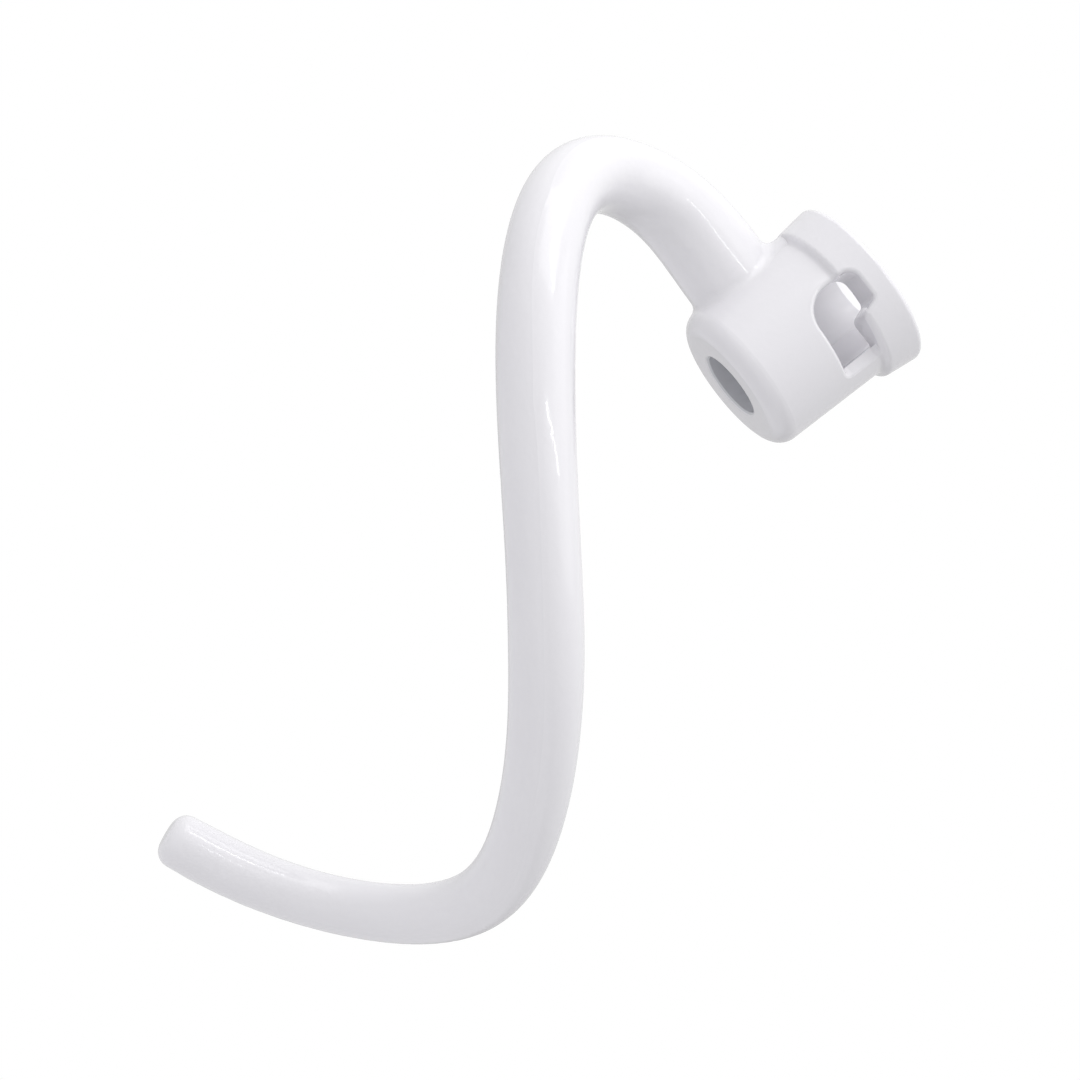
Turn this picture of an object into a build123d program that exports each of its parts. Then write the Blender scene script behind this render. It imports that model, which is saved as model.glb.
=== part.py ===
from build123d import *
import math
import os

# Stand mixer dough hook, one casting: a hub that twists onto the mixer's pinned shaft,
# and a tapering hook that leaves the hub sideways and winds half a turn round the shaft axis.
# Z runs up the shaft axis. Z = 0 is the hub's lower face, and the hook hangs below it.

# Hub barrel
bore_diameter = 12.9
hub_wall = 8.3
hub_draft = 0.7
foot_rounding = 3.5
bore_foot_chamfer = 0.5
bore_mouth_chamfer = 2.2

# Collar that the barrel swells into
collar_height = 6.8
collar_overhang = 2.2
collar_flare = 0.8
collar_swell = 1.8
collar_top_rounding = 1.0

# Bayonet for the pin that stands out of one side of the shaft. The pin drops down a keyway on the
# side away from the hook, makes a quarter turn behind a window and rises into a recess.
pin_diameter = 4.8
keyway_clearance = 0.4
keyway_reach = 10.3
keyway_front = 6.0
keyway_corner = 1.0
recess_clearance = 1.1
recess_corner = 2.2
recess_rise = 3.4
tooth_lean = 1.2
tooth_rounding = 1.6
sill_height = 16.2
window_height = 7.8
window_bend = 5.5
window_corner = 1.2
window_end_depth = 8.5
window_edge_rounding = 0.7
crown_thickness = 4.6

# Arm, where the hook leaves the hub, and the web that carries the collar's wall down to the arm's top
arm_drop = 2.4
arm_depth = 16.8
arm_width = 14.0
arm_fillet = 2.0
web_radius = 8.0
web_setback = 0.2

# Hook centreline below the arm, as x, y, z places with the section's diameter at each
arm_bend = (-31.5, -2.0, 11.8)
arm_bend_diameter = 16.0
shoulder = (-44.5, -14.0, 1.5)
shoulder_diameter = 14.0
shank_top = (-41.4, -30.0, -14.8)
shank_top_diameter = 13.6
shank_front = (-17.5, -39.0, -38.3)
shank_front_diameter = 13.4
shank_low = (15.2, -35.0, -61.4)
shank_low_diameter = 13.0
heel_top = (37.0, -21.0, -80.0)
heel_top_diameter = 12.1
heel = (44.0, -5.5, -95.3)
heel_diameter = 11.3
tail = (32.5, 7.5, -112.4)
tail_diameter = 10.4
tail_low = (16.2, 8.6, -123.7)
tail_low_diameter = 10.3
tip = (0.8, 6.8, -130.7)
tip_diameter = 9.8
tip_direction = (-0.88, -0.1, -0.35)
tip_rounding = 3.0

# Steps from one section to the next in which the section's side is carried along the line
carry_steps = 40

# Sizes that follow from those above
bore_radius = bore_diameter / 2
foot_radius = bore_radius + hub_wall
lintel_height = sill_height + window_height
recess_height = lintel_height + recess_rise
hub_length = recess_height + crown_thickness
collar_foot = hub_length - collar_height
neck_height = collar_foot - collar_swell
neck_radius = foot_radius + neck_height * math.tan(math.radians(hub_draft))
collar_radius = neck_radius + collar_overhang
arm_height = neck_height - arm_drop - arm_depth / 2
keyway_back = pin_diameter / 2 + keyway_clearance
recess_width = pin_diameter + 2 * recess_clearance


def hub_solid():
    """Drafted barrel with a rounded foot, swelling into a flaring collar at its top."""
    foot = (foot_radius, 0)
    neck = (neck_radius, neck_height)
    collar_low = (collar_radius - collar_flare, collar_foot)
    collar_top = (collar_radius, hub_length)
    barrel_wall = Line(foot, neck)
    collar_wall = Line(collar_low, collar_top)
    swell = Spline(neck, collar_low, tangents=[barrel_wall % 1, collar_wall % 0])
    ends = Polyline(collar_top, (0, hub_length), (0, 0), foot)
    profile = make_face([barrel_wall, swell, collar_wall, ends])
    for corner, radius in [(foot, foot_rounding), (collar_top, collar_top_rounding)]:
        profile = fillet(profile.vertices().sort_by_distance(corner)[0], radius)
    return revolve(Plane.XZ * profile, axis=Axis.Z)


def web_solid():
    """Rounded web from the arm's middle up into the collar, just inside the collar's wall."""
    reach = collar_radius - collar_flare - web_setback
    plan = Pos(web_radius - reach, 0, arm_height) * Circle(web_radius)
    return extrude(plan, collar_foot - arm_height)


def carried_side(line, side, start, end):
    """Side direction of a section, carried along the line from start to end without twist."""
    before = line.tangent_at(start)
    for step in range(1, carry_steps + 1):
        after = line.tangent_at(start + (end - start) * step / carry_steps)
        side = side - (before + after) * (side.dot(after) / (1 + before.dot(after)))
        before = after
    return side


def hook_solid():
    """Tapering rod swept through its sections, from inside the hub's wall to the blunt tip."""
    root = (-(bore_radius + foot_radius) / 2, 0, arm_height)
    stations = [
        (root, arm_depth, arm_width),
        (arm_bend, arm_bend_diameter, arm_bend_diameter),
        (shoulder, shoulder_diameter, shoulder_diameter),
        (shank_top, shank_top_diameter, shank_top_diameter),
        (shank_front, shank_front_diameter, shank_front_diameter),
        (shank_low, shank_low_diameter, shank_low_diameter),
        (heel_top, heel_top_diameter, heel_top_diameter),
        (heel, heel_diameter, heel_diameter),
        (tail, tail_diameter, tail_diameter),
        (tail_low, tail_low_diameter, tail_low_diameter),
        (tip, tip_diameter, tip_diameter),
    ]
    places = [place for place, _, _ in stations]
    line = Spline(*places, tangents=[(-1, 0, 0), tip_direction], tangent_scalars=[1, 1])
    sections = []
    side = Vector(0, 0, 1)
    reached = 0
    for place, tall, wide in stations:
        along = line.param_at_point(Vector(*place))
        side = carried_side(line, side, reached, along)
        reached = along
        plane = Plane(line.position_at(along), x_dir=side, z_dir=line.tangent_at(along))
        sections.append(plane * Ellipse(tall / 2, wide / 2))
    rod = sweep(sections=sections, path=line, multisection=True)
    return fillet(rod.faces().sort_by_distance(tip)[0].edges(), tip_rounding)


def bore_cut():
    """Shaft bore, chamfered at both ends."""
    foot = bore_radius + bore_foot_chamfer
    mouth = bore_radius + bore_mouth_chamfer
    upward = (Align.CENTER, Align.CENTER, Align.MIN)
    downward = (Align.CENTER, Align.CENTER, Align.MAX)
    bore = Cylinder(bore_radius, hub_length, align=upward)
    bore += Cone(foot, bore_radius, bore_foot_chamfer, align=upward)
    bore += Pos(0, 0, hub_length) * Cone(bore_radius, mouth, bore_mouth_chamfer, align=downward)
    return bore


def window_cut():
    """Window and locking recess through the front wall, up to the keyway's far end and its own flat end."""
    beyond = 2 * collar_radius
    roof_left = (-recess_width / 2, recess_height)
    roof_right = (recess_width / 2, recess_height)
    tooth = (recess_width / 2 + tooth_lean, lintel_height)
    end_top = (keyway_reach, lintel_height)
    end_low = (keyway_reach, sill_height)
    bend = (-recess_width / 2, sill_height)
    outline = make_face(Polyline(roof_left, roof_right, tooth, end_top, end_low, bend, close=True))
    roundings = [
        (roof_left, recess_corner),
        (roof_right, window_corner),
        (tooth, tooth_rounding),
        (bend, window_bend),
    ]
    for corner, radius in roundings:
        outline = fillet(outline.vertices().sort_by_distance(corner)[0], radius)
    end = Pos(-window_end_depth, sill_height) * RectangleRounded(
        beyond, window_height, window_corner, align=(Align.MAX, Align.MIN)
    )
    return extrude(Plane.XZ * outline, beyond) + extrude(Plane.YZ.offset(tooth[0]) * end, beyond)


def keyway_cut():
    """Slot that the pin drops through from the top of the hub."""
    slot = Pos(0, -keyway_front) * Rectangle(keyway_reach, keyway_front + keyway_back, align=Align.MIN)
    slot = fillet(slot.vertices().group_by(Axis.X)[-1], keyway_corner)
    return extrude(Pos(0, 0, sill_height) * slot, hub_length - sill_height)


def outside(edge):
    """True for an edge on the hub's outer wall, clear of the bore and its slots."""
    centre = edge.center()
    return math.hypot(centre.X, centre.Y) > foot_radius - window_edge_rounding


hub = hub_solid() + web_solid()
hook = hook_solid()
casting = hub + hook
casting = fillet(new_edges(hub, hook, combined=casting), arm_fillet)
casting -= bore_cut()
window = window_cut()
pierced = casting - window
rims = new_edges(casting, window, combined=pierced).filter_by(outside)
casting = fillet(rims, window_edge_rounding) - keyway_cut()

os.makedirs("parts", exist_ok=True)
export_step(casting, "parts/dough_hook.step")
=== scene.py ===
import math
import bpy
from mathutils import Matrix, Quaternion, Vector


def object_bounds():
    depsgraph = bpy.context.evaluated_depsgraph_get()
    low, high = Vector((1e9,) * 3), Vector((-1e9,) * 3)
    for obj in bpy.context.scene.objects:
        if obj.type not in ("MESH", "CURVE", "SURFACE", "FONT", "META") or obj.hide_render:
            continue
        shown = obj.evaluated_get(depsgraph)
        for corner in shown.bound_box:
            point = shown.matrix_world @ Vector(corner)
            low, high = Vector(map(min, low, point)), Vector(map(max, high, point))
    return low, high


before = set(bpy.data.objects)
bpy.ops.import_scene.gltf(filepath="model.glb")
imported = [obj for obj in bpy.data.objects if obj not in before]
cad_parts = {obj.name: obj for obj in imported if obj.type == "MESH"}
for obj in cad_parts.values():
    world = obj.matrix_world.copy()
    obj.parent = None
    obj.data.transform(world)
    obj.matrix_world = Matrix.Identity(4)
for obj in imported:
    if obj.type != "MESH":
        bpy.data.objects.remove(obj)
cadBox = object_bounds()
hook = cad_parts["dough_hook"]


def link(tree, source, output, target, socket):
    tree.links.new(source.outputs[output], target.inputs[socket])


# White coating: baked gloss enamel over the casting, faintly lilac, that levelled out as it melted

coating = {
    "thick": (0.80, 0.79, 0.82, 1),  # full coat
    "thin": (0.765, 0.755, 0.79, 1),  # thinner patches let a little of the grey metal through
    "paintedBoreShade": (0.585, 0.59, 0.62, 1),  # painted shade: a darker grey-lilac on the lower half of the bore, standing in for the shadow deep inside it
    "boreReach": 0.0071,  # the bore's wall lies inside this distance from the shaft axis
    "footLevel": 0.0002,  # and above this height, so the hook below the hub is left out
    "paintedShadeFrom": 0.020,  # the painted shade starts here and grows darker down the bore
    "paintedShadeFull": 0.013,
    "patchScale": 55,
    "patchDetail": 3,
    "roughThick": 0.20,
    "roughThin": 0.30,
    "runScale": 75,  # slow waves left by the casting's skin and the melted coat
    "runDepth": 0.00007,
    "peelScale": 620,  # orange peel
    "peelDepth": 0.000025,
    "skinDetail": 1,
    "coat": 0.7,
    "coatRoughness": 0.06,
}


def makeNoise(tree, place, scale, detail):
    noise = tree.nodes.new("ShaderNodeTexNoise")
    noise.inputs["Scale"].default_value = scale
    noise.inputs["Detail"].default_value = detail
    link(tree, place, "Object", noise, "Vector")
    return noise


def makeBump(tree, height, depth):
    bump = tree.nodes.new("ShaderNodeBump")
    bump.inputs["Distance"].default_value = depth
    link(tree, height, "Fac", bump, "Height")
    return bump


def makeMath(tree, operation):
    step = tree.nodes.new("ShaderNodeMath")
    step.operation = operation
    return step


# 1 on the lower half of the bore's wall, 0 everywhere else: where the painted bore shade goes
def makePaintedBoreShadeMask(tree, place):
    spread = tree.nodes.new("ShaderNodeSeparateXYZ")
    link(tree, place, "Object", spread, "Vector")
    flat = tree.nodes.new("ShaderNodeVectorMath")  # the place without its height
    flat.operation = "MULTIPLY"
    flat.inputs[1].default_value = (1, 1, 0)
    link(tree, place, "Object", flat, 0)
    axisGap = tree.nodes.new("ShaderNodeVectorMath")
    axisGap.operation = "LENGTH"
    link(tree, flat, "Vector", axisGap, 0)
    nearAxis = makeMath(tree, "LESS_THAN")
    nearAxis.inputs[1].default_value = coating["boreReach"]
    link(tree, axisGap, "Value", nearAxis, 0)
    aboveFoot = makeMath(tree, "GREATER_THAN")
    aboveFoot.inputs[1].default_value = coating["footLevel"]
    link(tree, spread, "Z", aboveFoot, 0)
    depth = tree.nodes.new("ShaderNodeMapRange")
    depth.interpolation_type = "SMOOTHSTEP"
    depth.inputs["From Min"].default_value = coating["paintedShadeFrom"]
    depth.inputs["From Max"].default_value = coating["paintedShadeFull"]
    link(tree, spread, "Z", depth, "Value")
    inBore = makeMath(tree, "MULTIPLY")
    link(tree, nearAxis, "Value", inBore, 0)
    link(tree, aboveFoot, "Value", inBore, 1)
    mask = makeMath(tree, "MULTIPLY")
    link(tree, inBore, "Value", mask, 0)
    link(tree, depth, "Result", mask, 1)
    return mask


def makeCoating():
    material = bpy.data.materials.new("white_coating")
    material.use_nodes = True
    tree = material.node_tree
    shader = tree.nodes["Principled BSDF"]
    shader.inputs["Coat Weight"].default_value = coating["coat"]
    shader.inputs["Coat Roughness"].default_value = coating["coatRoughness"]
    place = tree.nodes.new("ShaderNodeTexCoord")

    # where the coat is thick and where it is thin
    patch = makeNoise(tree, place, coating["patchScale"], coating["patchDetail"])
    tone = tree.nodes.new("ShaderNodeMix")
    tone.data_type = "RGBA"
    tone.inputs["A"].default_value = coating["thick"]
    tone.inputs["B"].default_value = coating["thin"]
    link(tree, patch, "Fac", tone, "Factor")
    # painted shade: darkens the lower bore towards the grey-lilac shade colour
    shade = tree.nodes.new("ShaderNodeMix")
    shade.data_type = "RGBA"
    shade.inputs["B"].default_value = coating["paintedBoreShade"]
    link(tree, makePaintedBoreShadeMask(tree, place), "Value", shade, "Factor")
    link(tree, tone, "Result", shade, "A")
    link(tree, shade, "Result", shader, "Base Color")

    gloss = tree.nodes.new("ShaderNodeMapRange")
    gloss.inputs["To Min"].default_value = coating["roughThick"]
    gloss.inputs["To Max"].default_value = coating["roughThin"]
    link(tree, patch, "Fac", gloss, "Value")
    link(tree, gloss, "Result", shader, "Roughness")

    runs = makeNoise(tree, place, coating["runScale"], coating["skinDetail"])
    wave = makeBump(tree, runs, coating["runDepth"])
    peel = makeNoise(tree, place, coating["peelScale"], coating["skinDetail"])
    skin = makeBump(tree, peel, coating["peelDepth"])
    link(tree, wave, "Normal", skin, "Normal")
    link(tree, skin, "Normal", shader, "Normal")
    return material


hook.data.materials.clear()
hook.data.materials.append(makeCoating())
print("coating on", hook.name)

# Floor: a round pale sheet well below the part, which hangs from its bore; it fades out at its rim

floorPlan = {
    "drop": 0.15,
    "radius": 1.0,
    "sides": 128,
    "fadeFrom": 0.45,
    "colour": (0.74, 0.74, 0.75, 1),
    "roughness": 0.6,
}


def makeFloor():
    bpy.ops.object.select_all(action="DESELECT")
    bpy.ops.mesh.primitive_circle_add(
        vertices=floorPlan["sides"],
        radius=floorPlan["radius"],
        fill_type="NGON",
        location=(0, 0, cadBox[0].z - floorPlan["drop"]),
    )
    sheet = bpy.context.object
    sheet.name = "floor"
    material = bpy.data.materials.new("pale_floor")
    material.use_nodes = True
    tree = material.node_tree
    shader = tree.nodes["Principled BSDF"]
    shader.inputs["Base Color"].default_value = floorPlan["colour"]
    shader.inputs["Roughness"].default_value = floorPlan["roughness"]
    place = tree.nodes.new("ShaderNodeTexCoord")
    far = tree.nodes.new("ShaderNodeVectorMath")
    far.operation = "LENGTH"
    link(tree, place, "Object", far, 0)
    fade = tree.nodes.new("ShaderNodeMapRange")
    fade.interpolation_type = "SMOOTHSTEP"
    fade.inputs["From Min"].default_value = floorPlan["fadeFrom"]
    fade.inputs["From Max"].default_value = floorPlan["radius"]
    link(tree, far, "Value", fade, "Value")
    clear = tree.nodes.new("ShaderNodeBsdfTransparent")
    blend = tree.nodes.new("ShaderNodeMixShader")
    link(tree, fade, "Result", blend, 0)
    link(tree, shader, "BSDF", blend, 1)
    link(tree, clear, "BSDF", blend, 2)
    link(tree, blend, "Shader", tree.nodes["Material Output"], "Surface")
    sheet.data.materials.append(material)
    return sheet


makeFloor()
print("floor made")

# Camera: in front and below the hub's height, rolled so that the shaft axis runs up to the right

cameraPlan = {
    "place": (0, -0.5455, -0.1345),
    "aim": (0.0007, 0, -0.0455),
    "roll": 51.9,
    "lens": 101.5,
    "sensor": 36,
}


def makeCamera():
    bpy.ops.object.camera_add(location=cameraPlan["place"])
    eye = bpy.context.object
    look = Vector(cameraPlan["aim"]) - eye.location
    roll = Quaternion((0, 0, 1), math.radians(cameraPlan["roll"]))
    eye.rotation_mode = "QUATERNION"
    eye.rotation_quaternion = look.to_track_quat("-Z", "Y") @ roll
    eye.data.lens = cameraPlan["lens"]
    eye.data.sensor_width = cameraPlan["sensor"]
    bpy.context.scene.camera = eye
    return eye


camera = makeCamera()
print("camera placed")

# Light: a white room, brighter at the top right of the picture, a soft box above and one at the side,
# and two thin strip lights whose reflections draw the streaks
# Directions are right, up and towards the camera

room = {
    "white": (1, 1, 1, 1),
    "level": 0.69,
    "lean": (0.28, 0.41, -0.04),  # how much brighter each way
}
lamps = [
    {
        "name": "top_box",
        "toward": (0.35, 0.88, 0.30),
        "along": (1, 0, 0),  # the way its first side runs
        "distance": 0.4,
        "size": (0.3, 0.3),
        "watts": 0.30,
    },
    {
        "name": "side_box",
        "toward": (0.93, 0.25, 0.25),
        "along": (0, 1, 0),
        "distance": 0.4,
        "size": (0.3, 0.3),
        "watts": 0.15,
    },
    {
        "name": "shank_strip",
        "toward": (0.68, 0.25, 0.69),
        "along": (0.41, -0.21, -0.43),
        "distance": 0.9,
        "size": (0.55, 0.02),
        "watts": 0.36,
    },
    {
        "name": "tail_strip",
        "toward": (0.55, 0.71, 0.45),
        "along": (0.38, -0.22, 0.10),
        "distance": 0.9,
        "size": (0.28, 0.03),
        "watts": 0.32,
    },
]


def makeRoom():
    world = bpy.data.worlds.new("white_room")
    world.use_nodes = True
    tree = world.node_tree
    place = tree.nodes.new("ShaderNodeTexCoord")
    lean = tree.nodes.new("ShaderNodeVectorMath")
    lean.operation = "DOT_PRODUCT"
    lean.inputs[1].default_value = camera.rotation_quaternion @ Vector(room["lean"])
    link(tree, place, "Generated", lean, 0)
    level = makeMath(tree, "ADD")
    level.inputs[1].default_value = room["level"]
    link(tree, lean, "Value", level, 0)
    sky = tree.nodes["Background"]
    sky.inputs["Color"].default_value = room["white"]
    link(tree, level, "Value", sky, "Strength")
    seen = tree.nodes.new("ShaderNodeBackground")  # what the camera sees behind the part
    seen.inputs["Color"].default_value = room["white"]
    path = tree.nodes.new("ShaderNodeLightPath")
    blend = tree.nodes.new("ShaderNodeMixShader")
    link(tree, path, "Is Camera Ray", blend, 0)
    link(tree, sky, "Background", blend, 1)
    link(tree, seen, "Background", blend, 2)
    link(tree, blend, "Shader", tree.nodes["World Output"], "Surface")
    bpy.context.scene.world = world


def makeLamp(plan):
    centre = (cadBox[0] + cadBox[1]) / 2
    outward = (camera.rotation_quaternion @ Vector(plan["toward"])).normalized()
    along = camera.rotation_quaternion @ Vector(plan["along"])
    along = (along - outward * along.dot(outward)).normalized()
    sides = Matrix((along, outward.cross(along), outward)).transposed()
    bpy.ops.object.light_add(type="AREA", location=centre + outward * plan["distance"])
    lamp = bpy.context.object
    lamp.name = plan["name"]
    lamp.rotation_mode = "QUATERNION"
    lamp.rotation_quaternion = sides.to_quaternion()
    lamp.data.shape = "RECTANGLE"
    lamp.data.size, lamp.data.size_y = plan["size"]
    lamp.data.energy = plan["watts"]
    lamp.visible_camera = False  # seen only as a reflection


makeRoom()
for plan in lamps:
    makeLamp(plan)
bpy.context.scene.view_settings.view_transform = "Standard"
print("lights placed")
